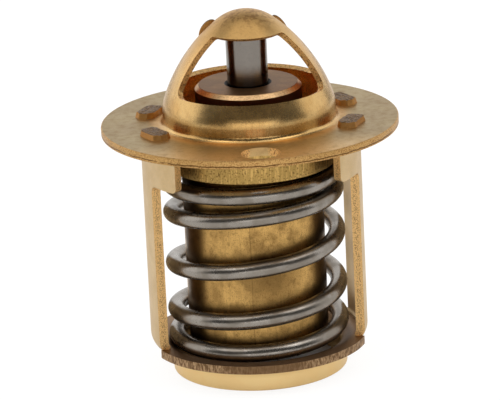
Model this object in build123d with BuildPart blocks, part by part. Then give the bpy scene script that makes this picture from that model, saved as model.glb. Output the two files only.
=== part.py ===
# Engine thermostat with a wax capsule, made to be clamped by its flange. Lengths in millimetres.
# The origin is on the axis at the flange's underside, with +Z towards the domed bridge.
# The front, with the bleed hole, faces -Y, and the frame's legs stand at -X and +X.

from build123d import *
from math import acos, atan2, cos, degrees, hypot, radians, sin, sqrt, tan
import os

# Flange and domed bridge, one pressing whose dome is drawn thinner
sheet_t = 1.1
flange_t = 1.5
flange_r = 27.0
flange_edge_r = 0.2
dome_r = 15.72
dome_foot_r = 0.9
port_bend_r = 2.0
dome_wall_h = 2.4
dome_h = 20.45
shoulder_r = 5.8
flank_r = 31.0
crown_r = 8.55
window_sill_h = 6.5
window_top_r = 7.1
bridge_leg_low_w = 12.2
bridge_leg_mid_w = 9.2
bridge_leg_top_w = 8.0
bridge_leg_draft = 24.0
window_low_corner_r = 1.8
window_top_corner_r = 0.8
bleed_foot_gap = 2.4
bleed_rim_gap = 0.9

# Supporting frame, one pressing of a thicker sheet
frame_t = 1.5
frame_side_gap = 1.89
leg_w = 13.4
ear_half_angle = 42.0
ear_h = 7.8
ear_corner_r = 1.0
ear_inner_r = 1.5
base_low = 40.55
base_bend_r = 2.8
base_ledge_w = 3.96
base_corner_gap = 0.4
collar_bend_r = 2.2
collar_h = 4.6
collar_edge_r = 0.3
tab_angle = 23.0
tab_w = 4.4
slot_gap = 0.12
tab_head_w = 6.2
tab_head_t = 3.2
tab_head_h = 0.8
tab_head_corner = 0.9
tab_head_draft = 14.0

# Valve plate
valve_side_gap = 0.3
valve_bend_r = 1.5
valve_skirt_low = 6.25
valve_seat_gap = 0.03
valve_hub_h = 2.4
valve_hub_r = 1.3

# Piston pin and the guide that it slides in
pin_r = 3.72
pin_low = 1.7
pin_end_gap = 0.03
pin_running_gap = 0.05
guide_shoulder_w = 3.1
guide_top = 8.4
guide_chamfer = 0.75
guide_mouth_chamfer = 0.5
guide_flange_top = 5.6
guide_flange_t = 2.8
guide_funnel_top = 5.1
guide_funnel_edge_w = 3.35

# Capsule and what it holds
cup_side_gap = 0.67
cup_wall = 0.9
cup_low = 40.2
cup_floor_t = 1.0
cup_corner_r = 1.5
cup_lip_gap = 0.5
cup_rim_bend_r = 1.3
diaphragm_t = 1.1
washer_t = 0.5
seat_gap = 0.02

# Return spring, which the valve's skirt overhangs past the middle of the wire
wire_r = 1.55
skirt_overhang = 0.4
low_end_pitch = 0.4
low_coil_gap = 0.3
active_turns = 2
top_coil_gap = 1.0
top_end_pitch = 1.8
coil_end_gap = 0.05

# The port in the dome sets the valve and the spring, and they set the capsule and the frame
valve_r = dome_r - valve_side_gap
spring_r = valve_r - skirt_overhang
cup_r = spring_r - wire_r - cup_side_gap
cup_in_r = cup_r - cup_wall
guide_r = cup_r - guide_shoulder_w
cup_lip_r = guide_r + cup_lip_gap
guide_funnel_r = cup_in_r - guide_funnel_edge_w
frame_r = spring_r + wire_r + frame_side_gap + frame_t
frame_in_r = frame_r - frame_t
collar_r = frame_r - base_ledge_w
collar_in_r = collar_r - frame_t

# Places that follow from the sizes above
flange_top = flange_t
crown_z = flange_top + dome_h - crown_r
shoulder_x = dome_r - shoulder_r
shoulder_z = flange_top + dome_wall_h
foot_x = dome_r + dome_foot_r
port_x = dome_r - sheet_t + port_bend_r
bleed_hole_r = (flange_r - bleed_rim_gap - foot_x - bleed_foot_gap) / 2
bleed_hole_at_r = flange_r - bleed_rim_gap - bleed_hole_r
base_top = frame_t - base_low
collar_low = -base_low - collar_h
mouth_x = collar_r + collar_bend_r
mouth_z = -base_low - collar_bend_r
mouth_round = collar_bend_r + frame_t
tab_r = frame_r - frame_t / 2
tab_places = [
    Location((0, 0, 0), (0, 0, angle)) * Location((tab_r, 0, 0))
    for angle in (tab_angle, 180 - tab_angle, 180 + tab_angle, -tab_angle)
]


def meeting_centre(x1, z1, r1, x2, z2, r2):
    # The point at r1 from the first centre and r2 from the second, on the axis side of both
    span = hypot(x2 - x1, z2 - z1)
    along = (r1**2 - r2**2 + span**2) / (2 * span)
    across = sqrt(r1**2 - along**2)
    ux = (x2 - x1) / span
    uz = (z2 - z1) / span
    return x1 + along * ux + across * uz, z1 + along * uz - across * ux


# The flank bulges gently and runs tangent into the crown and into the shoulder
flank_x, flank_z = meeting_centre(
    0, crown_z, flank_r - crown_r, shoulder_x, shoulder_z, flank_r - shoulder_r
)
shoulder_end = degrees(atan2(shoulder_z - flank_z, shoulder_x - flank_x))
crown_start = degrees(atan2(crown_z - flank_z, -flank_x))


def dome_wall(inset, bend_low, bend_r):
    # Half section of the dome from the bend at its foot to the axis, inset from the outer surface
    bend_x = dome_r - inset + bend_r
    bend_z = bend_low + bend_r
    CenterArc((bend_x, bend_z), bend_r, 180, 90)
    Line((dome_r - inset, bend_z), (dome_r - inset, shoulder_z))
    CenterArc((shoulder_x, shoulder_z), shoulder_r - inset, 0, shoulder_end)
    CenterArc((flank_x, flank_z), flank_r - inset, shoulder_end, crown_start - shoulder_end)
    CenterArc((0, crown_z), crown_r - inset, crown_start, 90 - crown_start)


def tab_sectors(gap, low, high):
    # The four curved tabs, or their slots when a gap is given
    with BuildPart() as sectors:
        with BuildSketch(Plane.XY.offset(low)):
            with Locations(*tab_places):
                Rectangle(2 * frame_t, tab_w + 2 * gap)
            Circle(frame_r + gap, mode=Mode.INTERSECT)
            Circle(frame_in_r - gap, mode=Mode.SUBTRACT)
        extrude(amount=high - low)
    return sectors.part


# Windows of the bridge, cut square to the sheet above the sill and below the crown
sill_z = flange_top + window_sill_h
sill_angle = degrees(atan2(sill_z - flank_z, sqrt(flank_r**2 - (sill_z - flank_z) ** 2)))
head_angle = degrees(acos(window_top_r / crown_r))
window_depth = 3 * sheet_t


def sheet_point(cx, cz, radius, angle):
    return cx + radius * cos(radians(angle)), cz + radius * sin(radians(angle))


sill_x = flank_x + flank_r * cos(radians(sill_angle))
head_z = crown_z + crown_r * sin(radians(head_angle))
leg_lean = atan2(sill_x - window_top_r, head_z - sill_z)
leg_up = Vector(-sin(leg_lean), 0, cos(leg_lean))
leg_out = Vector(cos(leg_lean), 0, sin(leg_lean))
leg_length = hypot(sill_x - window_top_r, head_z - sill_z)
leg_depth = 2 * window_depth
leg_spread = leg_depth * tan(radians(bridge_leg_draft))
leg_margin = leg_length / 3


def leg_side(along, spread):
    # A point of the leg's curved side, through its three widths from the sill to the window's head
    share = along / leg_length
    low_part = bridge_leg_low_w * (1 - share) * (1 - 2 * share)
    mid_part = bridge_leg_mid_w * 4 * share * (1 - share)
    top_part = bridge_leg_top_w * share * (2 * share - 1)
    return (low_part + mid_part + top_part) / 2 + spread, along


with BuildPart() as bridge_legs:
    for depth, spread in ((-leg_depth, -leg_spread), (leg_depth, leg_spread)):
        leg_origin = Vector(sill_x, 0, sill_z) + leg_out * depth
        with BuildSketch(Plane(origin=leg_origin, x_dir=(0, 1, 0), z_dir=leg_out)):
            with BuildLine():
                side_low = leg_side(-leg_margin, spread)
                side_mid = leg_side(leg_length / 2, spread)
                side_top = leg_side(leg_length + leg_margin, spread)
                ThreePointArc(side_low, side_mid, side_top)
                Line(side_top, (0, side_top[1]))
                Line(side_low, (0, side_low[1]))
                mirror(about=Plane.YZ)
            make_face()
    loft(ruled=True)
    mirror(about=Plane.YZ)


def window_corners(tool, height):
    # The four edges that run through the sheet at the windows' corners nearest this height
    through = tool.edges().filter_by(lambda e: abs(e.length - 2 * window_depth) < window_depth / 2)
    return through.filter_by_position(Axis.Z, height - window_depth, height + window_depth)


with BuildPart() as window_tool:
    with BuildSketch(Plane.XZ):
        with BuildLine():
            Polyline(
                sheet_point(flank_x, flank_z, flank_r + window_depth, sill_angle),
                sheet_point(0, crown_z, crown_r + window_depth, head_angle),
                sheet_point(0, crown_z, crown_r - window_depth, head_angle),
                sheet_point(flank_x, flank_z, flank_r - window_depth, sill_angle),
                close=True,
            )
        make_face()
    revolve(axis=Axis.Z)
    add(bridge_legs.part, mode=Mode.SUBTRACT)
    fillet(window_corners(window_tool, head_z), window_top_corner_r)
    fillet(window_corners(window_tool, sill_z), window_low_corner_r)


with BuildPart() as flange_bridge:
    with BuildSketch(Plane.XZ) as bridge_section:
        with BuildLine():
            dome_wall(0, flange_top, dome_foot_r)
            dome_wall(sheet_t, 0, port_bend_r)
            Line((0, crown_z + crown_r - sheet_t), (0, crown_z + crown_r))
            Polyline((foot_x, flange_top), (flange_r, flange_top), (flange_r, 0), (port_x, 0))
        make_face()
        fillet(bridge_section.vertices().group_by(Axis.X)[-1], flange_edge_r)
    revolve(axis=Axis.Z)
    add(window_tool.part, mode=Mode.SUBTRACT)
    with Locations((0, -bleed_hole_at_r, flange_top)):
        Hole(bleed_hole_r)
    add(tab_sectors(slot_gap, -flange_t, flange_top + flange_t), mode=Mode.SUBTRACT)

# Supporting frame: a drawn cup with its sides cut away to two legs with wide ears
tool_near_x = 2 / 3 * frame_r
tool_far_x = 2 * frame_r
ear_slope = tan(radians(ear_half_angle))


def edges_under_ears(tool):
    return tool.edges().filter_by_position(Axis.Z, -ear_h - seat_gap, -ear_h + seat_gap)


with BuildPart() as legs_tool:
    with BuildSketch(Plane.XY.offset(-base_low)):
        with Locations(((tool_near_x + tool_far_x) / 2, 0)):
            Rectangle(tool_far_x - tool_near_x, leg_w)
    extrude(amount=base_low)
    with BuildSketch(Plane.XY.offset(-ear_h)):
        with BuildLine():
            Polyline(
                (tool_near_x, -tool_near_x * ear_slope),
                (tool_far_x, -tool_far_x * ear_slope),
                (tool_far_x, tool_far_x * ear_slope),
                (tool_near_x, tool_near_x * ear_slope),
                close=True,
            )
        make_face()
    extrude(amount=ear_h)
    fillet(edges_under_ears(legs_tool).filter_by(Axis.X), ear_inner_r)
    ear_sides = edges_under_ears(legs_tool).filter_by(Axis.X, reverse=True)
    fillet(ear_sides.filter_by(Axis.Y, reverse=True).filter_by(GeomType.LINE), ear_corner_r)
    mirror(about=Plane.YZ)

with BuildPart() as support_frame:
    with BuildSketch(Plane.XZ):
        with BuildLine():
            bend_x = frame_r - base_bend_r
            bend_z = base_bend_r - base_low
            Polyline((frame_r, bend_z), (frame_r, 0), (frame_in_r, 0), (frame_in_r, bend_z))
            CenterArc((bend_x, bend_z), base_bend_r - frame_t, -90, 90)
            Line((bend_x, base_top), (bend_x, -base_low))
            CenterArc((bend_x, bend_z), base_bend_r, -90, 90)
        make_face()
    revolve(axis=Axis.Z)
    add(legs_tool.part, mode=Mode.INTERSECT)
    with BuildSketch(Plane.XZ):
        with BuildLine():
            CenterArc((mouth_x, mouth_z), mouth_round, 90, 90)
            Polyline((collar_in_r, mouth_z), (0, mouth_z), (0, bend_z), (mouth_x, bend_z), (mouth_x, base_top))
        make_face()
    revolve(axis=Axis.Z, mode=Mode.SUBTRACT)
    with BuildSketch(Plane.XY.offset(-base_low)):
        Circle(frame_r)
        with Locations((frame_r, 0), (-frame_r, 0)):
            Rectangle(2 * base_bend_r, leg_w + 2 * base_corner_gap, mode=Mode.SUBTRACT)
        Circle(mouth_x, mode=Mode.SUBTRACT)
    extrude(amount=frame_t)
    with BuildSketch(Plane.XZ):
        with BuildLine():
            CenterArc((mouth_x, mouth_z), mouth_round, 90, 90)
            Polyline(
                (collar_in_r, mouth_z), (collar_in_r, collar_low), (collar_r, collar_low), (collar_r, mouth_z)
            )
            CenterArc((mouth_x, mouth_z), collar_bend_r, 90, 90)
            Line((mouth_x, -base_low), (mouth_x, base_top))
        make_face()
    revolve(axis=Axis.Z)
    foot_edges = support_frame.edges().group_by(Axis.Z)[0]
    fillet(foot_edges, collar_edge_r)
    add(tab_sectors(0, -flange_t, flange_top))
    with BuildSketch(Plane.XY.offset(flange_top)) as tab_heads:
        with Locations(*tab_places):
            Rectangle(tab_head_t, tab_head_w)
        chamfer(tab_heads.vertices(), tab_head_corner)
    extrude(amount=tab_head_h, taper=tab_head_draft)

# Piston pin, from the washer over the plug up to the underside of the crown
with BuildPart() as piston_pin:
    with BuildSketch(Plane.XZ):
        with BuildLine():
            end_r = crown_r - sheet_t - pin_end_gap
            pin_side_top = crown_z + sqrt(end_r**2 - pin_r**2)
            Polyline((0, crown_z + end_r), (0, -pin_low), (pin_r, -pin_low), (pin_r, pin_side_top))
            CenterArc((0, crown_z), end_r, degrees(acos(pin_r / end_r)), 90 - degrees(acos(pin_r / end_r)))
        make_face()
    revolve(axis=Axis.Z)

# Capsule guide: turned, with a bore for the pin that opens to a funnel over the diaphragm
guide_low = -guide_flange_top - guide_flange_t
bore_r = pin_r + pin_running_gap
with BuildPart() as capsule_guide:
    with BuildSketch(Plane.XZ) as guide_section:
        with BuildLine():
            Polyline(
                (bore_r, guide_top),
                (guide_r, guide_top),
                (guide_r, -guide_flange_top),
                (cup_in_r - seat_gap, -guide_flange_top),
                (cup_in_r - seat_gap, guide_low),
                (guide_funnel_r, guide_low),
                (bore_r, -guide_funnel_top),
                close=True,
            )
        make_face()
        top_corners = guide_section.vertices().group_by(Axis.Y)[-1].sort_by(Axis.X)
        chamfer(top_corners[0], guide_mouth_chamfer)
        chamfer(top_corners[-1], guide_chamfer)
    revolve(axis=Axis.Z)

# Valve plate: a pressed disc that seats in the flare of the dome's foot, with a downturned skirt
# for the spring and a hub pressed over the guide
valve_reach = port_bend_r + valve_bend_r + valve_seat_gap
valve_top = port_bend_r + valve_bend_r - sqrt(valve_reach**2 - (port_x - valve_r + valve_bend_r) ** 2)
hub_in_r = guide_r + seat_gap
with BuildPart() as valve_plate:
    with BuildSketch(Plane.XZ) as valve_section:
        with BuildLine():
            Polyline(
                (hub_in_r, valve_top + valve_hub_h),
                (hub_in_r + sheet_t, valve_top + valve_hub_h),
                (hub_in_r + sheet_t, valve_top),
                (valve_r, valve_top),
                (valve_r, -valve_skirt_low),
                (valve_r - sheet_t, -valve_skirt_low),
                (valve_r - sheet_t, valve_top - sheet_t),
                (hub_in_r, valve_top - sheet_t),
                close=True,
            )
        make_face()
        bends = (
            (valve_r, valve_top, valve_bend_r),
            (valve_r - sheet_t, valve_top - sheet_t, valve_bend_r - sheet_t),
            (hub_in_r, valve_top - sheet_t, valve_hub_r),
        )
        for bend_at_x, bend_at_z, bend_r in bends:
            fillet(valve_section.vertices().sort_by_distance((bend_at_x, bend_at_z))[0], bend_r)
    revolve(axis=Axis.Z)

# Capsule cup: a drawn cup whose rim is folded in over the guide's flange
lip_low = seat_gap - guide_flange_top
with BuildPart() as capsule_cup:
    with BuildSketch(Plane.XZ) as cup_section:
        with BuildLine():
            Polyline(
                (0, -cup_low),
                (cup_r, -cup_low),
                (cup_r, lip_low + cup_wall),
                (cup_lip_r, lip_low + cup_wall),
                (cup_lip_r, lip_low),
                (cup_in_r, lip_low),
                (cup_in_r, cup_floor_t - cup_low),
                (0, cup_floor_t - cup_low),
                close=True,
            )
        make_face()
        side_corners = cup_section.vertices().group_by(Axis.X)[-1].sort_by(Axis.Y)
        fillet(side_corners[0], cup_corner_r)
        fillet(side_corners[-1], cup_rim_bend_r)
        floor_corner = cup_section.vertices().sort_by_distance((cup_in_r, cup_floor_t - cup_low))[0]
        fillet(floor_corner, cup_corner_r - cup_wall)
    revolve(axis=Axis.Z)

# Washer between the pin and the plug, which fills the bore and the funnel under it
washer_top = -pin_low - seat_gap
plug_top = washer_top - washer_t - seat_gap
plug_r = pin_r
plug_low_r = guide_funnel_r - pin_running_gap
with BuildPart() as chafe_washer:
    with BuildSketch(Plane.XY.offset(washer_top - washer_t)):
        Circle(pin_r)
    extrude(amount=washer_t)

with BuildPart() as rubber_plug:
    with BuildSketch(Plane.XZ):
        with BuildLine():
            Polyline(
                (0, plug_top), (plug_r, plug_top), (plug_r, -guide_funnel_top), (plug_low_r, guide_low), (0, guide_low),
                close=True,
            )
        make_face()
    revolve(axis=Axis.Z)

# Diaphragm clamped under the guide's flange, and the wax that fills the rest of the cup
diaphragm_top = guide_low - seat_gap
wax_top = diaphragm_top - diaphragm_t - seat_gap
wax_low = cup_floor_t - cup_low + seat_gap
with BuildPart() as diaphragm:
    with BuildSketch(Plane.XY.offset(diaphragm_top - diaphragm_t)):
        Circle(cup_in_r - seat_gap)
    extrude(amount=diaphragm_t)

with BuildPart() as wax_charge:
    with BuildSketch(Plane.XY.offset(wax_low)):
        Circle(cup_in_r - seat_gap)
    extrude(amount=wax_top - wax_low)
    fillet(wax_charge.edges().group_by(Axis.Z)[0], cup_corner_r - cup_wall)

# Return spring: right-handed, closed at both ends, between the valve's skirt and the collar's mouth
seat_reach = mouth_round + wire_r + seat_gap
spring_low = mouth_z + sqrt(seat_reach**2 - (mouth_x - spring_r) ** 2)
spring_high = -valve_skirt_low - wire_r - seat_gap
low_turn_pitch = 2 * (2 * wire_r + low_coil_gap) - low_end_pitch
top_turn_pitch = 2 * wire_r + top_coil_gap
# The top end stops where its last turn has closed onto the one below
top_end_turns = (top_coil_gap - coil_end_gap) / (top_turn_pitch - top_end_pitch)
end_rise = low_end_pitch / 2 + low_turn_pitch + top_turn_pitch + top_end_turns * top_end_pitch
active_pitch = (spring_high - spring_low - end_rise) / active_turns
# Pitch and number of turns of each stretch, from the bottom end up
stretches = (
    (low_end_pitch, 0.5),
    (low_turn_pitch, 1),
    (active_pitch, active_turns),
    (top_turn_pitch, 1),
    (top_end_pitch, top_end_turns),
)
with BuildPart() as return_spring:
    coil_start = Location((0, 0, spring_low), (0, 0, 90))
    for pitch, turns in stretches:
        coil = coil_start * Helix(pitch, pitch * turns, spring_r, mode=Mode.PRIVATE)
        if return_spring.faces():
            section = return_spring.faces().sort_by_distance(coil @ 0)[0]
        else:
            with BuildSketch(Plane(coil @ 0, z_dir=coil % 0), mode=Mode.PRIVATE) as wire_section:
                Circle(wire_r)
            section = wire_section.sketch.face()
        sweep(section, path=coil, is_frenet=True)
        coil_start *= Location((0, 0, pitch * turns), (0, 0, 360 * turns))

os.makedirs("parts", exist_ok=True)
pieces = {
    "flange_bridge": flange_bridge,
    "support_frame": support_frame,
    "piston_pin": piston_pin,
    "capsule_guide": capsule_guide,
    "valve_plate": valve_plate,
    "capsule_cup": capsule_cup,
    "chafe_washer": chafe_washer,
    "rubber_plug": rubber_plug,
    "diaphragm": diaphragm,
    "wax_charge": wax_charge,
    "return_spring": return_spring,
}
for name, piece in pieces.items():
    piece.part.label = name
    export_step(piece.part, f"parts/{name}.step")
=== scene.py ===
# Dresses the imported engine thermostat: metal finishes, the spring, the staked tabs and two burrs,
# with the photo's camera and a soft studio
import math

import bmesh
import bpy
from mathutils import Matrix, Vector, noise


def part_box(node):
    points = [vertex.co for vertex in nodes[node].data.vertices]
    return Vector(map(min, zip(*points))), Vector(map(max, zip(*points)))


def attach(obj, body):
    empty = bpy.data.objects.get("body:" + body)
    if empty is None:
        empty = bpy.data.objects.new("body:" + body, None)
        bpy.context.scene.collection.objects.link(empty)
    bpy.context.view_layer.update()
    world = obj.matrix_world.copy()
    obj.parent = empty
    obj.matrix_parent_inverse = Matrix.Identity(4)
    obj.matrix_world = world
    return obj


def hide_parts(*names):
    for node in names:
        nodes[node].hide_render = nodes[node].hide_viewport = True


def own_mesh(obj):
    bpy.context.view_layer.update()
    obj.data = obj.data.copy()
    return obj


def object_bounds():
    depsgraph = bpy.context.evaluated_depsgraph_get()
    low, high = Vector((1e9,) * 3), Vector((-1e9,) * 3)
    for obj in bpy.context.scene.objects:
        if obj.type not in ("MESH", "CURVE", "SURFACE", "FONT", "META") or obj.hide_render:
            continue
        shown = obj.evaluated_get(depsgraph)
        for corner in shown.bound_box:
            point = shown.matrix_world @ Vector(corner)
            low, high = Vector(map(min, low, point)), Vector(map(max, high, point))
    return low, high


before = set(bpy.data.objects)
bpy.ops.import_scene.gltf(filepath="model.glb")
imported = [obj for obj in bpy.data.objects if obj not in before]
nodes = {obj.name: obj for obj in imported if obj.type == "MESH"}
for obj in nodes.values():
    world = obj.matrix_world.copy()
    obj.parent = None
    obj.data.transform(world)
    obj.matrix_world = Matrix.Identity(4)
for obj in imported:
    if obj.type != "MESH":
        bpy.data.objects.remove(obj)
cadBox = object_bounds()
mm = 0.001
floorHeight = cadBox[0].z
print("frame loaded with", len(nodes), "nodes")

# Camera, from the photo's own viewing angle
photoCamera = {
    "azimuth": math.radians(-4.3),
    "elevation": math.radians(16.988),
    "roll": math.radians(-2.703),
    "distance": 0.7092,
    "lens": 279.95,
    "sensor": 36,
    "clipping": (0.05, 20),
    "aimSideways": -0.624 * mm,
    "aimHeight": -13.867 * mm,
}


def towards(azimuth, elevation):  # the way from the part to the camera or to a lamp
    level = math.cos(elevation)
    return Vector((math.sin(azimuth) * level, -math.cos(azimuth) * level, math.sin(elevation)))


def placeCamera(view):
    back = towards(view["azimuth"], view["elevation"])
    right = Vector((math.cos(view["azimuth"]), math.sin(view["azimuth"]), 0))
    up = back.cross(right)
    target = Vector((0, 0, view["aimHeight"])) + right * view["aimSideways"]
    data = bpy.data.cameras.new("photoCamera")
    data.lens = view["lens"]
    data.sensor_width = view["sensor"]
    data.clip_start, data.clip_end = view["clipping"]
    camera = bpy.data.objects.new("photoCamera", data)
    bpy.context.scene.collection.objects.link(camera)
    cosRoll, sinRoll = math.cos(view["roll"]), math.sin(view["roll"])
    axes = Matrix((right * cosRoll + up * sinRoll, up * cosRoll - right * sinRoll, back))
    place = Matrix.Translation(target + back * view["distance"])
    camera.matrix_world = place @ axes.transposed().to_4x4()
    bpy.context.scene.camera = camera


placeCamera(photoCamera)
bpy.context.scene.view_settings.view_transform = "Standard"
print("camera placed")


# Shader helpers
class Wire:  # one output of a shader node, with Python's own operators
    def __init__(self, tree, socket):
        self.tree, self.socket = tree, socket

    def maths(self, operation, *terms):
        return self.tree.node("ShaderNodeMath", {"operation": operation}, dict(enumerate(terms)))

    def other(self, name):  # another output of the same node
        return Wire(self.tree, self.socket.node.outputs[name])

    def __add__(self, term):
        return self.maths("ADD", self, term)

    def __sub__(self, term):
        return self.maths("SUBTRACT", self, term)

    def __rsub__(self, term):
        return self.maths("SUBTRACT", term, self)

    def __mul__(self, term):
        return self.maths("MULTIPLY", self, term)

    def __truediv__(self, term):
        return self.maths("DIVIDE", self, term)

    def __pow__(self, term):
        return self.maths("POWER", self, term)

    def __abs__(self):
        return self.maths("ABSOLUTE", self)

    __radd__, __rmul__ = __add__, __mul__


class Tree:  # an emptied node tree of a material or a world
    def __init__(self, owner):
        self.owner = owner
        owner.use_nodes = True
        self.nodes, self.links = owner.node_tree.nodes, owner.node_tree.links
        self.nodes.clear()

    def node(self, kind, settings, inputs, output=0):
        made = self.nodes.new(kind)
        for name, value in settings.items():
            setattr(made, name, value)
        for socket, value in inputs.items():
            if isinstance(value, Wire):
                self.links.new(value.socket, made.inputs[socket])
            else:
                made.inputs[socket].default_value = value
        return Wire(self, made.outputs[output] if made.outputs else None)


grainRoughness = 0.55


class Finish(Tree):  # a material in millimetres from the thermostat's axis, with its look's values
    def __init__(self, name, look, **constants):
        super().__init__(bpy.data.materials.new(name))
        self.look, self.constants, self.made = look, constants, {}
        spot = self.node("ShaderNodeTexCoord", {}, {}, "Object")
        inMm = {0: spot, "Scale": 1 / mm}
        self.point = self.node("ShaderNodeVectorMath", {"operation": "SCALE"}, inMm)
        self.x = self.node("ShaderNodeSeparateXYZ", {}, {0: self.point})
        self.y, self.z = self.x.other("Y"), self.x.other("Z")
        self.radius = (self.x * self.x + self.y * self.y) ** 0.5
        normal = self.node("ShaderNodeNewGeometry", {}, {}, "True Normal")
        facingX = self.node("ShaderNodeSeparateXYZ", {}, {0: normal})
        facingY = facingX.other("Y")
        self.up = facingX.other("Z")
        self.outward = (facingX * self.x + facingY * self.y) / self.radius
        self.sideways = abs((facingX * self.y - facingY * self.x) / self.radius)

    def ease(self, value, low, high):  # 0 below low, 1 above high, smooth between
        sockets = {"Value": value, "From Min": low, "From Max": high}
        return self.node("ShaderNodeMapRange", {"interpolation_type": "SMOOTHSTEP"}, sockets)

    def band(self, value, low, high, soft):  # 1 between low and high
        start = self.ease(value, low - soft, low + soft)
        return start * (1 - self.ease(value, high - soft, high + soft))

    def mix(self, amount, first, second):
        sockets = {0: amount, 6: first, 7: second}  # the Mix node's colour sockets
        return self.node("ShaderNodeMix", {"data_type": "RGBA"}, sockets, 2)

    def grain(self, perMm, detail, stretch=(1, 1, 1), point=None):
        stretched = {0: point or self.point, 1: stretch}
        along = self.node("ShaderNodeVectorMath", {"operation": "MULTIPLY"}, stretched)
        sockets = {"Vector": along, "Scale": perMm, "Detail": detail, "Roughness": grainRoughness}
        return self.node("ShaderNodeTexNoise", {}, sockets)

    def rounds(self, perMm, detail):  # lines that run round the axis, as a lathe leaves them
        ring = self.node("ShaderNodeCombineXYZ", {}, {"X": self.radius, "Z": self.z})
        return self.grain(perMm, detail, point=ring)

    def marks(self, name):  # the grain of this name in the look, made once
        if name not in self.made:
            self.made[name] = self.grain(*self.look["grains"][name])
        return self.made[name]

    def share(self, name, value=None):  # 0 to 1, by the look's limits for a grain or a place
        return self.ease(value or self.marks(name), *self.look["limits"][name])

    def finish(self, colour, roughness, height):
        sockets = {"Height": height, "Distance": self.look["depth"] * mm}
        bump = self.node("ShaderNodeBump", {}, sockets)
        sockets = {"Base Color": colour, "Roughness": roughness, "Normal": bump, **self.constants}
        shader = self.node("ShaderNodeBsdfPrincipled", {}, sockets)
        self.node("ShaderNodeOutputMaterial", {}, {"Surface": shader})
        return self.owner


def between(pair, place):  # the first number away from a place, the second on it
    away, on = pair
    return away - (away - on) * place


def dress(name, material):
    nodes[name].data.materials.clear()
    nodes[name].data.materials.append(material)


# In each look below, a grain is its marks per mm, its detail and, where it runs one way, its
# stretch. Limits are where a grain or a place starts to show and where it shows in full: places
# in mm, facings from -1 to 1. A depth is the bump in mm for a height of 1.

# Flange and bridge: pressed brass, greenish on the flat, browner round the dome, with painted
# reflection: brighter gold on the front of the flat and orange inside
flangeFinish = {
    "gold": (0.62, 0.375, 0.135, 1),
    "pale": (0.72, 0.49, 0.21, 1),
    "greenish": (0.41, 0.30, 0.135, 1),
    "frontReflection": (0.88, 0.58, 0.25, 1),
    "dull": (0.37, 0.26, 0.112, 1),
    "brown": (0.30, 0.145, 0.05, 1),
    "insideReflection": (0.95, 0.40, 0.11, 1),
    "cut": (0.86, 0.53, 0.20, 1),
    "cutDark": (0.34, 0.16, 0.05, 1),
    "burr": (0.13, 0.06, 0.02, 1),
    "grains": {
        "clouds": (0.13, 3),
        "blotches": (0.8, 5),
        "speckle": (7, 3),
        "scuffs": (4, 4, (0.25, 1, 1)),
        "drawn": (2.6, 5, (1, 1, 0.06)),
        "crownStains": (1.1, 6),
        "cutTear": (3.5, 6),
        "rimTear": (4.5, 5),
        "burrWaves": (0.5, 4),
        "burrGaps": (0.25, 3),
    },
    "limits": {
        "overhang": (0.03, 0.12),
        "sideways": (0.45, 0.7),
        "outside": (-0.3, -0.1),
        "rim": (26.75, 26.9),
        "flat": (16.6, 19.1),
        "pastDome": (15.92, 16.8),
        "pastFront": (-25, -12),
        "crown": (18.5, 21.5),
        "crownWear": (14.5, 18.5),
        "flatClouds": (0.38, 0.6),
        "domeClouds": (0.45, 0.65),
        "blotches": (0.52, 0.72),
        "roughBlotches": (0.35, 0.7),
        "speckle": (0.56, 0.68),
        "roughSpeckle": (0.5, 0.7),
        "drawn": (0.5, 0.66),
        "crownStains": (0.46, 0.6),
        "cutTear": (0.5, 0.62),
        "rimTear": (0.45, 0.64),
        "burrGaps": (0.36, 0.46),
    },
    "burrLine": (0.35, 0.55, 0.05),  # its lower and upper edge and their softness
    "burrWave": 0.7,
    "frontReflectionAmount": 0.75,
    "cloudAmount": 0.6,
    "blotchAmount": (0.28, 0.06),  # off the dome and on it
    "speckleAmount": (0.4, 0.2),
    "drawnAmount": 0.2,
    "crownAmount": 0.6,
    "burrShadeAmount": 0.9,
    "roughness": {"flat": 0.37, "dome": 0.12, "crown": 0.17, "cut": 0.14, "speckle": 0.05},
    "blotchRoughness": (0.1, 0.03),
    "heights": {"flat": 0.25, "drawn": 0.12, "tear": 1.8, "burr": 0.8},
    "speckleHeight": (0.3, 0.15),
    "depth": 0.04,
}


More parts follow.
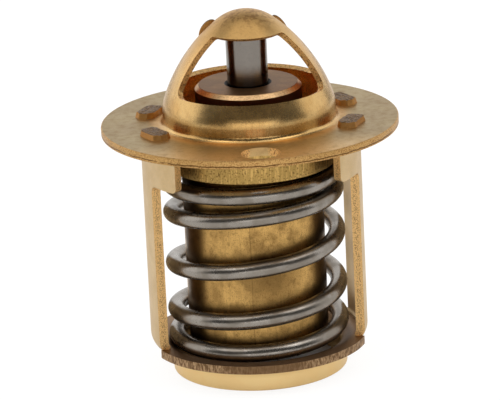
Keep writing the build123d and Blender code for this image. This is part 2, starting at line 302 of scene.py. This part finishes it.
def flangeMaterial(look):
    f = Finish("flangeBrass", look, Metallic=1.0)
    cuts = {0: f.share("overhang", f.outward * f.up * -1), 1: f.share("sideways", f.sideways)}
    cut = f.node("ShaderNodeMath", {"operation": "MAXIMUM", "use_clamp": True}, cuts)
    insideReflection = (1 - f.share("outside", f.outward)) * (1 - cut)
    rim = f.share("rim", f.radius)
    dome = 1 - f.share("pastDome", f.radius)
    clouds, blotches, speckle = f.marks("clouds"), f.marks("blotches"), f.marks("speckle")

    flat = f.mix(f.share("flatClouds", clouds), look["greenish"], look["dull"])
    # painted reflection: the front of the flat is mixed towards a brighter gold
    front = look["frontReflectionAmount"] * (1 - f.share("pastFront", f.y))
    flat = f.mix(front, flat, look["frontReflection"])
    colour = f.mix(f.share("flat", f.radius), look["gold"], flat)
    paleShare = dome * f.share("domeClouds", clouds) * look["cloudAmount"]
    colour = f.mix(paleShare, colour, look["pale"])
    for brownShare in (
        f.share("blotches") * between(look["blotchAmount"], dome),
        dome * f.share("drawn") * look["drawnAmount"],
        f.share("crown", f.z) * f.share("crownStains") * look["crownAmount"],
        f.share("speckle") * between(look["speckleAmount"], dome),
    ):
        colour = f.mix(brownShare, colour, look["brown"])
    colour = f.mix(cut, colour, f.mix(f.share("cutTear"), look["cut"], look["cutDark"]))
    # painted reflection: inward-facing surfaces take a bright orange for light bounced between the
    # brass walls
    colour = f.mix(insideReflection, colour, look["insideReflection"])
    colour = f.mix(rim, colour, f.mix(f.share("rimTear"), look["gold"], look["cutDark"]))
    # a burr groove along the rim's lower edge, darkened with painted shade
    burrHeight = f.z + (f.marks("burrWaves") - 0.5) * look["burrWave"]
    burr = rim * f.band(burrHeight, *look["burrLine"]) * f.share("burrGaps")
    colour = f.mix(burr * look["burrShadeAmount"], colour, look["burr"])

    rough = look["roughness"]
    roughness = rough["flat"] - rough["dome"] * dome + rough["crown"] * f.share("crownWear", f.z)
    roughness += between(look["blotchRoughness"], dome) * f.share("roughBlotches", blotches)
    roughness += rough["cut"] * cut
    roughness += rough["speckle"] * f.share("roughSpeckle", speckle)
    heights = look["heights"]
    height = (clouds + f.marks("scuffs")) * heights["flat"] * (1 - dome)
    height += speckle * between(look["speckleHeight"], dome)
    height += f.marks("drawn") * heights["drawn"] * dome
    height += f.marks("rimTear") * cut * heights["tear"]
    height -= burr * heights["burr"]
    return f.finish(colour, roughness, height)


dress("flange_bridge", flangeMaterial(flangeFinish))

# Supporting frame: thicker brass, bead blasted outside, torn on its cut edges
frameFinish = {
    "blasted": (0.60, 0.43, 0.225, 1),
    "pale": (0.67, 0.50, 0.285, 1),
    "torn": (0.86, 0.56, 0.24, 1),
    "tornDark": (0.24, 0.115, 0.04, 1),
    "rimDark": (0.18, 0.10, 0.047, 1),
    "rimPale": (0.50, 0.33, 0.18, 1),
    "ledge": (0.26, 0.15, 0.07, 1),
    "collar": (0.86, 0.62, 0.29, 1),
    "grains": {
        "blast": (6, 4),
        "blotches": (0.3, 3),
        "tear": (6, 6, (1, 1, 0.7)),
        "shear": (3.6, 5, (1, 1, 0.3)),
    },
    "limits": {
        "side": (0.55, 0.8),
        "rim": (19.36, 19.86),
        "rimFacing": (0.5, 0.9),
        "ledge": (0.3, 0.8),
        "aboveCollar": (-41.75, -40.75),
        "besideFront": (4, 10),
        "blast": (0.53, 0.7),
        "blotches": (0.3, 0.75),
        "collarBlotches": (0.45, 0.6),
        "tear": (0.44, 0.66),
        "shear": (0.4, 0.62),
    },
    "base": (-40.65, -38.95, 0.1),  # lower and upper edge, and their softness
    "sheetCore": (18.81, 19.56, 0.15),  # radii, and their softness
    "blastAmount": 0.5,
    "tearAmount": 0.45,
    "coreAmount": 0.45,
    "collarAmount": 0.25,
    "rimFrontShade": 0.8,
    "roughness": {"face": 0.44, "side": 0.1, "collar": 0.12, "rim": 0.08},
    "blastHeight": (0.4, 0.2),  # off the collar and on it
    "heights": {"tear": 1.8, "shear": 1.6, "blotches": 0.3},
    "depth": 0.06,
}


def frameMaterial(look):
    f = Finish("frameBrass", look, Metallic=1.0)
    side = f.share("side", f.sideways)
    inBase = f.band(f.z, *look["base"])
    rim = inBase * f.share("rim", f.radius) * f.share("rimFacing", f.outward)
    ledge = inBase * f.share("ledge", f.up)
    collar = 1 - f.share("aboveCollar", f.z)
    core = f.band(f.radius, *look["sheetCore"])
    blotches = f.marks("blotches")

    colour = f.mix(f.share("blotches"), look["blasted"], look["pale"])
    colour = f.mix(f.share("blast") * look["blastAmount"], colour, look["torn"])
    tornShare = f.share("tear") * (look["tearAmount"] + look["coreAmount"] * core)
    colour = f.mix(side, colour, f.mix(tornShare, look["torn"], look["tornDark"]))
    collarShare = f.share("collarBlotches", blotches) * look["collarAmount"]
    colour = f.mix(collar, colour, f.mix(collarShare, look["collar"], look["torn"]))
    colour = f.mix(ledge, colour, look["ledge"])
    rimColour = f.mix(f.share("shear"), look["rimDark"], look["rimPale"])
    # painted shade: the base rim darkens towards its front centre
    rimShadeShare = look["rimFrontShade"] * (1 - f.share("besideFront", abs(f.x)))
    colour = f.mix(rim, colour, f.mix(rimShadeShare, rimColour, look["rimDark"]))

    rough, heights = look["roughness"], look["heights"]
    roughness = rough["face"] + rough["side"] * side
    roughness = roughness - rough["collar"] * collar + rough["rim"] * rim
    height = f.marks("blast") * between(look["blastHeight"], collar)
    height += f.marks("tear") * side * heights["tear"]
    height += f.marks("shear") * rim * heights["shear"]
    height += blotches * heights["blotches"]
    return f.finish(colour, roughness, height)


dress("support_frame", frameMaterial(frameFinish))

# Capsule cup: deep-drawn brass with draw marks, stains, scratches and a seam, and painted shade
# down its sides
capsuleFinish = {
    "gold": (0.64, 0.385, 0.125, 1),
    "olive": (0.38, 0.22, 0.07, 1),
    "stain": (0.13, 0.07, 0.022, 1),
    "deep": (0.10, 0.055, 0.02, 1),
    "grains": {
        "drawn": (2.4, 5, (1, 1, 0.1)),
        "clouds": (0.28, 6),
        "speckle": (6, 6),
        "spots": (0.9, 5),
        "scratches": (1.1, 6, (2.5, 1, 0.5)),
    },
    "limits": {
        "pastFront": (-2, 0),
        "besideFront": (8.2, 12.0),
        "patch": (2.6, 6.5),
        "clouds": (0.4, 0.7),
        "roughClouds": (0.35, 0.7),
        "speckle": (0.54, 0.66),
        "roughSpeckle": (0.5, 0.7),
        "spots": (0.56, 0.68),
        "drawn": (0.54, 0.7),
    },
    "amounts": {"speckle": 0.6, "spots": 0.35, "drawn": 0.22},
    "scratchLines": (0.495, 0.505, 0.008),  # the grain's values that make a line, and softness
    "scratchAmount": 0.5,
    "patchPlace": (1.5, -24.5),
    "patchRagged": 14,
    "patchAmount": 0.7,
    "seamLine": (-1.95, -1.85, 0.06),
    "seamWander": 0.3,
    "seamAmount": 0.6,
    "paintedSideShade": 0.85,
    "roughness": {"bare": 0.30, "clouds": 0.12, "speckle": 0.1},
    "heights": {"drawn": 0.35, "speckle": 0.3, "clouds": 0.6, "seam": 0.6},
    "depth": 0.035,
}


def capsuleMaterial(look):
    f = Finish("capsuleBrass", look, Metallic=1.0)
    drawn, clouds, speckle = f.marks("drawn"), f.marks("clouds"), f.marks("speckle")
    front = 1 - f.share("pastFront", f.y)
    seam = f.band(f.x + (drawn - 0.5) * look["seamWander"], *look["seamLine"]) * front
    scratches = f.band(f.marks("scratches"), *look["scratchLines"]) * look["scratchAmount"]
    across, along = (place - centre for place, centre in zip((f.x, f.z), look["patchPlace"]))
    spread = (across * across + along * along) ** 0.5 + (clouds - 0.5) * look["patchRagged"]
    patch = (1 - f.share("patch", spread)) * front

    colour = f.mix(f.share("clouds"), look["gold"], look["olive"])
    stains = [f.share(name) * amount for name, amount in look["amounts"].items()]
    stains += [scratches, patch * look["patchAmount"], seam * look["seamAmount"]]
    for stain in stains:
        colour = f.mix(stain, colour, look["stain"])
    # painted shade: the front darkens towards the cup's left and right edges
    sides = f.share("besideFront", abs(f.x)) * front * look["paintedSideShade"]
    colour = f.mix(sides, colour, look["deep"])

    rough, heights = look["roughness"], look["heights"]
    roughness = rough["bare"] + rough["clouds"] * f.share("roughClouds", clouds)
    roughness += rough["speckle"] * f.share("roughSpeckle", speckle)
    height = drawn * heights["drawn"] + speckle * heights["speckle"]
    height = height + clouds * heights["clouds"] - seam * heights["seam"]
    return f.finish(colour, roughness, height)


dress("capsule_cup", capsuleMaterial(capsuleFinish))

# Capsule guide: turned and browned by heat, with a bright chamfer that is partly painted highlight,
# painted shade on its side and a painted shadow at its bore's mouth
guideFinish = {
    "top": (0.235, 0.123, 0.048, 1),
    "worn": (0.35, 0.195, 0.085, 1),
    "bright": (0.78, 0.50, 0.25, 1),
    "side": (0.15, 0.075, 0.035, 1),
    "mouth": (0.02, 0.014, 0.01, 1),
    "grains": {"clouds": (0.35, 5), "nicks": (3.5, 5)},
    "turned": (4, 3),
    "limits": {
        "chamfer": (8.95, 9.05),
        "level": (0.2, 0.4),
        "pastMouth": (4.2, 4.4),
        "clouds": (0.4, 0.66),
        "nicks": (0.54, 0.66),
        "chamferNicks": (0.4, 0.55),
    },
    "chamferFacing": (0.35, 0.9, 0.05),
    "cloudAmount": 0.7,
    "nickAmount": 0.5,
    "chamferHighlight": (0.6, 0.4),  # all over the chamfer, and more between its nicks
    "roughness": {"top": 0.46, "clouds": 0.1, "chamfer": 0.12, "side": 0.12},
    "heights": {"turned": 0.35, "nicks": 0.4},
    "depth": 0.02,
}


def guideMaterial(look):
    f = Finish("guideCopper", look, Metallic=1.0)
    turned, nicks = f.rounds(*look["turned"]), f.marks("nicks")
    chamfer = f.band(f.up, *look["chamferFacing"]) * f.share("chamfer", f.radius)
    side = 1 - f.share("level", f.up)
    mouth = 1 - f.share("pastMouth", f.radius)

    colour = f.mix(f.share("clouds") * look["cloudAmount"], look["top"], look["worn"])
    colour = f.mix(f.share("nicks") * look["nickAmount"], colour, look["side"])
    # painted shade: faces that don't look up take the darker side colour
    colour = f.mix(side, colour, look["side"])
    # bright turned metal on the chamfer with a painted highlight, more between its nicks
    least, more = look["chamferHighlight"]
    chamferHighlightShare = chamfer * (least + more * f.share("chamferNicks", nicks))
    colour = f.mix(chamferHighlightShare, colour, look["bright"])
    # painted shadow: near-black in the clearance gap round the pin at the bore's mouth
    colour = f.mix(mouth, colour, look["mouth"])

    rough, heights = look["roughness"], look["heights"]
    roughness = rough["top"] + rough["clouds"] * f.marks("clouds")
    roughness = roughness - rough["chamfer"] * chamfer - rough["side"] * side
    return f.finish(colour, roughness, turned * heights["turned"] + nicks * heights["nicks"])


dress("capsule_guide", guideMaterial(guideFinish))

# Valve plate: olive brass with sheared marks up its skirt and a little painted shade at its sides
valveFinish = {
    "brass": (0.44, 0.28, 0.085, 1),
    "bright": (0.64, 0.41, 0.135, 1),
    "dark": (0.16, 0.09, 0.03, 1),
    "grains": {"shear": (3.4, 5, (1, 1, 0.1)), "pits": (2.8, 6)},
    "limits": {"shear": (0.48, 0.62), "pits": (0.52, 0.64), "besideFront": (9.5, 14.0)},
    "pitAmount": 0.75,
    "sideShadeAmount": 0.1,
    "roughness": {"bare": 0.34, "pits": 0.2},
    "heights": {"shear": 1.0, "pits": 0.6},
    "depth": 0.05,
}


def valveMaterial(look):
    f = Finish("valveBrass", look, Metallic=1.0)
    shear, pits = f.marks("shear"), f.marks("pits")
    colour = f.mix(f.share("shear"), look["brass"], look["bright"])
    colour = f.mix(f.share("pits") * look["pitAmount"], colour, look["dark"])
    # painted shade: the skirt darkens a little towards its left and right edges
    sides = f.share("besideFront", abs(f.x)) * look["sideShadeAmount"]
    colour = f.mix(sides, colour, look["dark"])
    rough, heights = look["roughness"], look["heights"]
    roughness = rough["bare"] + rough["pits"] * pits
    return f.finish(colour, roughness, shear * heights["shear"] + pits * heights["pits"])


dress("valve_plate", valveMaterial(valveFinish))

# Piston pin: ground steel with fine pits, darker towards its lower end where it dips into the guide
pinFinish = {
    "steel": (0.24, 0.213, 0.187, 1),
    "dark": (0.16, 0.15, 0.14, 1),
    "stain": (0.05, 0.041, 0.034, 1),
    "grains": {"pits": (4.5, 5)},
    "ground": (5, 3),
    "limits": {"pits": (0.56, 0.68), "aboveDarkening": (8.6, 12.8)},
    "pitAmount": 0.6,
    "stainAmount": 0.8,
    "roughness": {"bare": 0.15, "pits": 0.1},
    "heights": {"ground": 0.2, "pits": 0.25},
    "depth": 0.012,
}


def pinMaterial(look):
    f = Finish("pinSteel", look, Metallic=1.0)
    ground, pits = f.rounds(*look["ground"]), f.marks("pits")
    colour = f.mix(f.share("pits") * look["pitAmount"], look["steel"], look["dark"])
    # darker towards the lower end, near the guide
    lowerDarkening = (1 - f.share("aboveDarkening", f.z)) * look["stainAmount"]
    colour = f.mix(lowerDarkening, colour, look["stain"])
    rough, heights = look["roughness"], look["heights"]
    roughness = rough["bare"] + rough["pits"] * pits
    return f.finish(colour, roughness, ground * heights["ground"] + pits * heights["pits"])


dress("piston_pin", pinMaterial(pinFinish))

# Sealed pieces inside the capsule
innerFinish = {
    "grains": {"mottle": (1.5, 4)},
    "mottleRoughness": 0.15,
    "depth": 0.05,
    "pieces": {  # material, its two colours, and roughness
        "chafe_washer": ("washerPlastic", (0.78, 0.76, 0.70, 1), (0.66, 0.63, 0.56, 1), 0.45),
        "rubber_plug": ("plugRubber", (0.03, 0.03, 0.03, 1), (0.05, 0.05, 0.048, 1), 0.6),
        "diaphragm": ("diaphragmRubber", (0.025, 0.025, 0.025, 1), (0.045, 0.045, 0.04, 1), 0.6),
        "wax_charge": ("waxBlend", (0.62, 0.38, 0.20, 1), (0.45, 0.25, 0.12, 1), 0.5),
    },
}
for name, (label, first, second, bare) in innerFinish["pieces"].items():
    inner = Finish(label, innerFinish)
    mottle = inner.marks("mottle")
    roughness = bare + innerFinish["mottleRoughness"] * mottle
    dress(name, inner.finish(inner.mix(mottle, first, second), roughness, mottle))
print("CAD nodes dressed")

# Return spring: one round wire, wound from its lower end at the back
springWire = {
    "wireRadius": 1.55 * mm,
    "coilRadius": 15.02 * mm,
    "steps": 472,
    "wireSides": 24,
    "stretches": ((0.4, 0.5), (6.4, 1), (9.69, 2), (4.1, 1), (1.8, 0.413)),  # pitch in mm, turns
    "pitchBlend": 0.14,  # turns either side of a join
    "endEdge": 0.25 * mm,
    "endCuts": 3,
    "valveTravel": 8 * mm,
    "steel": (0.318, 0.287, 0.252, 1),
    "dull": (0.24, 0.21, 0.175, 1),
    "brown": (0.22, 0.15, 0.095, 1),
    "grains": {"clouds": (0.25, 4), "stains": (2.2, 5)},
    "limits": {
        "clouds": (0.4, 0.65),
        "roughClouds": (0.35, 0.7),
        "stains": (0.56, 0.7),
        "roughStains": (0.5, 0.7),
    },
    "stainAmount": 0.25,
    "roughness": {"bare": 0.25, "clouds": 0.07, "stains": 0.03},
    "heights": {"clouds": 0.3, "stains": 0.08},
    "depth": 0.015,
}


def pitchAt(turn, stretches, soft):
    # the pitch of the stretch that this turn is in, eased across the joins
    pitch, start = stretches[0][0], 0
    for before, after in zip(stretches, stretches[1:]):
        start += before[1]
        share = min(max((turn - start) / (2 * soft) + 0.5, 0), 1)
        pitch += (after[0] - before[0]) * share * share * (3 - 2 * share)
    return pitch * mm


def breakEdges(bm, edges, width, cuts):
    bmesh.ops.bevel(
        bm, geom=edges, offset=width, segments=cuts, profile=0.5, affect="EDGES", material=-1
    )


def windSpring(wire, low, high):
    bm = bmesh.new()
    bmesh.ops.create_circle(bm, segments=wire["wireSides"], radius=wire["wireRadius"])
    bmesh.ops.rotate(bm, verts=bm.verts, matrix=Matrix.Rotation(math.pi / 2, 3, "Y"))
    start = (0, wire["coilRadius"], low.z + wire["wireRadius"])
    bmesh.ops.translate(bm, verts=bm.verts, vec=start)
    stretches, steps = wire["stretches"], wire["steps"]
    stepTurn = sum(turns for pitch, turns in stretches) / steps
    rises = [pitchAt((i + 0.5) * stepTurn, stretches, wire["pitchBlend"]) for i in range(steps)]
    fit = (high.z - low.z - 2 * wire["wireRadius"]) / sum(rises)
    ring = bm.verts[:] + bm.edges[:]
    for rise in rises:
        lift, angle = (0, 0, rise * fit), stepTurn * math.tau
        spun = bmesh.ops.spin(bm, geom=ring, axis=(0, 0, 1), dvec=lift, angle=angle, steps=1)
        ring = spun["geom_last"]
    openEnds = [e for e in bm.edges if e.is_boundary]
    caps = bmesh.ops.holes_fill(bm, edges=openEnds, sides=wire["wireSides"])
    rims = [e for face in caps["faces"] for e in face.edges]
    breakEdges(bm, rims, wire["endEdge"], wire["endCuts"])
    bmesh.ops.recalc_face_normals(bm, faces=bm.faces)
    return bm


def springMaterial(look):
    f = Finish("springSteel", look, Metallic=1.0)
    clouds, stains = f.marks("clouds"), f.marks("stains")
    colour = f.mix(f.share("clouds"), look["steel"], look["dull"])
    colour = f.mix(f.share("stains") * look["stainAmount"], colour, look["brown"])
    rough, heights = look["roughness"], look["heights"]
    roughness = rough["bare"] + rough["clouds"] * f.share("roughClouds", clouds)
    roughness += rough["stains"] * f.share("roughStains", stains)
    return f.finish(colour, roughness, clouds * heights["clouds"] + stains * heights["stains"])


def finishPiece(bm, name, material, body, smoothAngle=35):
    mesh = bpy.data.meshes.new(name)
    bm.to_mesh(mesh)
    bm.free()
    mesh.shade_smooth()
    mesh.set_sharp_from_angle(angle=math.radians(smoothAngle))
    mesh.materials.append(material)
    piece = bpy.data.objects.new(name, mesh)
    bpy.context.scene.collection.objects.link(piece)
    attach(piece, body)
    return piece


springLow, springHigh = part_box("return_spring")
springSteel = springMaterial(springWire)
springBm = windSpring(springWire, springLow, springHigh)
springPiece = finishPiece(springBm, "returnSpring", springSteel, "housing")
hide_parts("return_spring")
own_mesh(springPiece)
print("spring wound")

# Staked tabs: the frame's four tab ends, crushed over the flange
stakedTab = {
    "angles": {"FrontRight": -23, "BackRight": 23, "BackLeft": 157, "FrontLeft": -157},
    "twists": {"FrontRight": -5, "BackRight": 3, "BackLeft": -4, "FrontLeft": 5},
    "ringRadius": 19.21 * mm,
    "flangeTop": 1.5 * mm,
    "width": 6.7 * mm,
    "depthAcross": 3.7 * mm,
    "height": 0.95 * mm,
    "corner": 1.0 * mm,
    "draft": 0.2,
    "dent": 1.3 * mm,
    "dentShare": (0.11, 0.06),  # how far dents pull the outline in, across and along
    "ridge": (0.35 * mm, 1.6 * mm),
    "crush": 0.13 * mm,
    "crushShares": (0.5, 0.9, 0.5),  # all over, by the ridges, by the dents
    "edgeFade": 0.3 * mm,
    "seedStep": 3.7,
    "cuts": 30,
    "smoothAngle": 50,
    "top": (0.10, 0.055, 0.021, 1),
    "ridgeColour": (0.31, 0.175, 0.068, 1),
    "side": (0.50, 0.25, 0.075, 1),
    "grains": {"lines": (3.5, 5)},
    "limits": {"lines": (0.42, 0.62), "level": (0.3, 0.7)},
    "roughness": {"bare": 0.38, "lines": 0.2},
    "depth": 0.05,
}


def crushTab(tab, degrees, twist, seed):
    bm = bmesh.new()
    bmesh.ops.create_cube(bm, size=2)
    bmesh.ops.subdivide_edges(bm, edges=bm.edges[:], cuts=tab["cuts"], use_grid_fill=True)
    halfDepth, halfWidth, fade = tab["depthAcross"] / 2, tab["width"] / 2, tab["edgeFade"]
    pullAcross, pullAlong = tab["dentShare"]
    ridgeAcross, ridgeAlong = tab["ridge"]
    allOver, byRidge, byDent = tab["crushShares"]
    for vert in bm.verts:
        x, y, level = vert.co.x * halfDepth, vert.co.y * halfWidth, (vert.co.z + 1) / 2
        over = abs(x) + abs(y) - halfDepth - halfWidth + tab["corner"]
        if over > 0:
            x -= math.copysign(over / 2, x)
            y -= math.copysign(over / 2, y)
        lean = 1 - tab["draft"] * level * tab["height"] / halfDepth
        dent = noise.noise(Vector((x, y, seed * mm)) / tab["dent"])
        ridge = noise.noise(Vector((x / ridgeAcross, y / ridgeAlong, seed)))
        edge = min(1.0, (halfDepth - abs(x)) / fade, (halfWidth - abs(y)) / fade)
        crushed = tab["crush"] * (allOver + byRidge * ridge + byDent * dent) * max(edge, 0)
        vert.co = (
            x * lean * (1 + pullAcross * dent),
            y * lean * (1 + pullAlong * dent),
            level * (tab["height"] + crushed),
        )
    place = Matrix.Translation((tab["ringRadius"], 0, tab["flangeTop"]))
    place = Matrix.Rotation(math.radians(degrees), 4, "Z") @ place
    place = place @ Matrix.Rotation(math.radians(twist), 4, "Z")
    bmesh.ops.transform(bm, matrix=place, verts=bm.verts)
    return bm


def stakedMaterial(look):
    f = Finish("stakedBrass", look, Metallic=1.0)
    lines = f.marks("lines")
    colour = f.mix(f.share("lines"), look["top"], look["ridgeColour"])
    colour = f.mix(1 - f.share("level", f.up), colour, look["side"])
    rough = look["roughness"]
    return f.finish(colour, rough["bare"] + rough["lines"] * lines, lines)


stakedBrass = stakedMaterial(stakedTab)
for order, (side, degrees) in enumerate(stakedTab["angles"].items()):
    head = crushTab(stakedTab, degrees, stakedTab["twists"][side], order * stakedTab["seedStep"])
    tabName = "stakedTab" + side
    finishPiece(head, tabName, stakedBrass, "housing", stakedTab["smoothAngle"])
print("tabs staked")

# Burrs that the window punch left standing out at the back window's upper corners
windowBurr = {
    "reach": {"Left": (-1, 1.4 * mm), "Right": (1, 0.95 * mm)},  # side of the bridge, and how far
    "back": 3.3 * mm,
    "crownHeight": 13.4 * mm,
    "crownRadius": 8.5 * mm,
    "lean": math.radians(33),
    "halfLength": 2.3 * mm,
    "root": 0.5 * mm,
    "thickness": 0.55 * mm,
    "edge": 0.12 * mm,
    "edgeCuts": 2,
    "sharpAngle": 1.0,
    "cuts": 32,
}


def raiseBurr(burr, way, reach):
    bm = bmesh.new()
    bmesh.ops.create_circle(bm, cap_ends=True, segments=burr["cuts"], radius=1)
    for vert in bm.verts:
        vert.co = (vert.co.x * burr["halfLength"], max(vert.co.y * reach, -burr["root"]), 0)
    grown = bmesh.ops.extrude_face_region(bm, geom=bm.faces[:])
    raised = [v for v in grown["geom"] if isinstance(v, bmesh.types.BMVert)]
    bmesh.ops.translate(bm, verts=raised, vec=(0, 0, burr["thickness"]))
    bmesh.ops.recalc_face_normals(bm, faces=bm.faces)
    rims = [e for e in bm.edges if e.calc_face_angle(0) > burr["sharpAngle"]]
    breakEdges(bm, rims, burr["edge"], burr["edgeCuts"])
    out = Vector((way * math.cos(burr["lean"]), 0, math.sin(burr["lean"])))
    along = Vector((-way * math.sin(burr["lean"]), 0, math.cos(burr["lean"])))
    level = math.sqrt(burr["crownRadius"] ** 2 - burr["back"] ** 2)
    foot = Vector((0, burr["back"], burr["crownHeight"])) + out * level
    turned = Matrix((along, out, along.cross(out))).transposed().to_4x4()
    bmesh.ops.transform(bm, matrix=Matrix.Translation(foot) @ turned, verts=bm.verts)
    return bm


for side, (way, reach) in windowBurr["reach"].items():
    burrBm = raiseBurr(windowBurr, way, reach)
    # the burrs take the staked tabs' dark finish as painted shade on their shaded faces
    finishPiece(burrBm, "windowBurr" + side, stakedBrass, "housing")
print("burrs raised")

# Studio: a pale floor, white surroundings for the camera and large soft panels; in the metal the
# table is bright in front and dark behind
studio = {
    "floorRadius": 0.6,
    "floorSides": 128,
    "floorColour": (0.80, 0.80, 0.79, 1),
    "floorGlow": 1.1,
    "floorSeen": 0.8,
    "floorMirrored": 0.4,
    "floorSideDark": 0.85,
    "limits": {"behind": (-60, 40), "away": (80, 150), "pastCollar": (15.5, 16.0)},
    "roomColour": (1, 1, 1, 1),
    "roomSeen": 1,
    "roomMirrored": 0.06,
    "roomDiffuse": 0.45,
    "energyPerArea": 4,  # a panel's energy per square metre for a radiance of 1
    "panels": {  # azimuth and elevation in degrees, distance, width, height, radiance
        "overhead": (0, 88, 0.7, 0.8, 0.6, 0.68),
        "frontLeft": (-54, 52, 0.8, 0.42, 0.34, 1.6),
        "frontRight": (58, 50, 0.8, 0.38, 0.34, 1.9),
        "frontHigh": (0, 62, 0.8, 0.6, 0.14, 0.8),
        "frontLow": (0, 2, 0.9, 1.1, 0.2, 1.3),
        "back": (180, 20, 0.9, 2.0, 0.75, 0.8),
        "left": (-105, 20, 0.9, 0.9, 0.75, 0.9),
        "right": (100, 20, 0.9, 0.9, 0.75, 0.78),
    },
}


def lightPanels(look):
    for name, (azimuth, elevation, distance, width, height, radiance) in look["panels"].items():
        lamp = bpy.data.lights.new(name, "AREA")
        lamp.shape, lamp.size, lamp.size_y = "RECTANGLE", width, height
        lamp.energy = look["energyPerArea"] * width * height * radiance
        panel = bpy.data.objects.new(name, lamp)
        panel.location = towards(math.radians(azimuth), math.radians(elevation)) * distance
        panel.rotation_euler = panel.location.to_track_quat("Z", "Y").to_euler()
        panel.visible_camera = False
        bpy.context.scene.collection.objects.link(panel)


def layFloor(look):
    bm = bmesh.new()
    radius, sides = look["floorRadius"], look["floorSides"]
    bmesh.ops.create_circle(bm, cap_ends=True, segments=sides, radius=radius)
    bmesh.ops.translate(bm, verts=bm.verts, vec=(0, 0, floorHeight))
    mesh = bpy.data.meshes.new("floor")
    bm.to_mesh(mesh)
    bm.free()
    floor = bpy.data.objects.new("floor", mesh)
    bpy.context.scene.collection.objects.link(floor)
    pale = Finish("paleFloor", look)
    seen = pale.node("ShaderNodeLightPath", {}, {}, "Is Camera Ray")
    mirrored = seen.other("Is Glossy Ray")
    # metal sees a bright table towards the camera and a darker one beside and behind
    dark = pale.share("behind", pale.y) * pale.share("away", pale.radius) * look["floorSideDark"]
    glowShare = seen * look["floorSeen"] + mirrored * (1 - dark) * look["floorMirrored"]
    glowShare = glowShare * pale.share("pastCollar", pale.radius)
    matt = pale.node("ShaderNodeBsdfDiffuse", {}, {"Color": look["floorColour"]})
    glow = pale.node("ShaderNodeEmission", {}, {"Strength": look["floorGlow"]})
    both = pale.node("ShaderNodeMixShader", {}, {0: glowShare, 1: matt, 2: glow})
    pale.node("ShaderNodeOutputMaterial", {}, {"Surface": both})
    mesh.materials.append(pale.owner)


def fillRoom(look):
    room = Tree(bpy.data.worlds.new("room"))
    seen = room.node("ShaderNodeLightPath", {}, {}, "Is Camera Ray")
    direct = seen * (look["roomSeen"] - look["roomDiffuse"])
    mirrored = seen.other("Is Glossy Ray") * (look["roomMirrored"] - look["roomDiffuse"])
    sockets = {"Color": look["roomColour"], "Strength": direct + mirrored + look["roomDiffuse"]}
    background = room.node("ShaderNodeBackground", {}, sockets)
    room.node("ShaderNodeOutputWorld", {}, {"Surface": background})
    bpy.context.scene.world = room.owner


lightPanels(studio)
layFloor(studio)
fillRoom(studio)
print("studio lit")
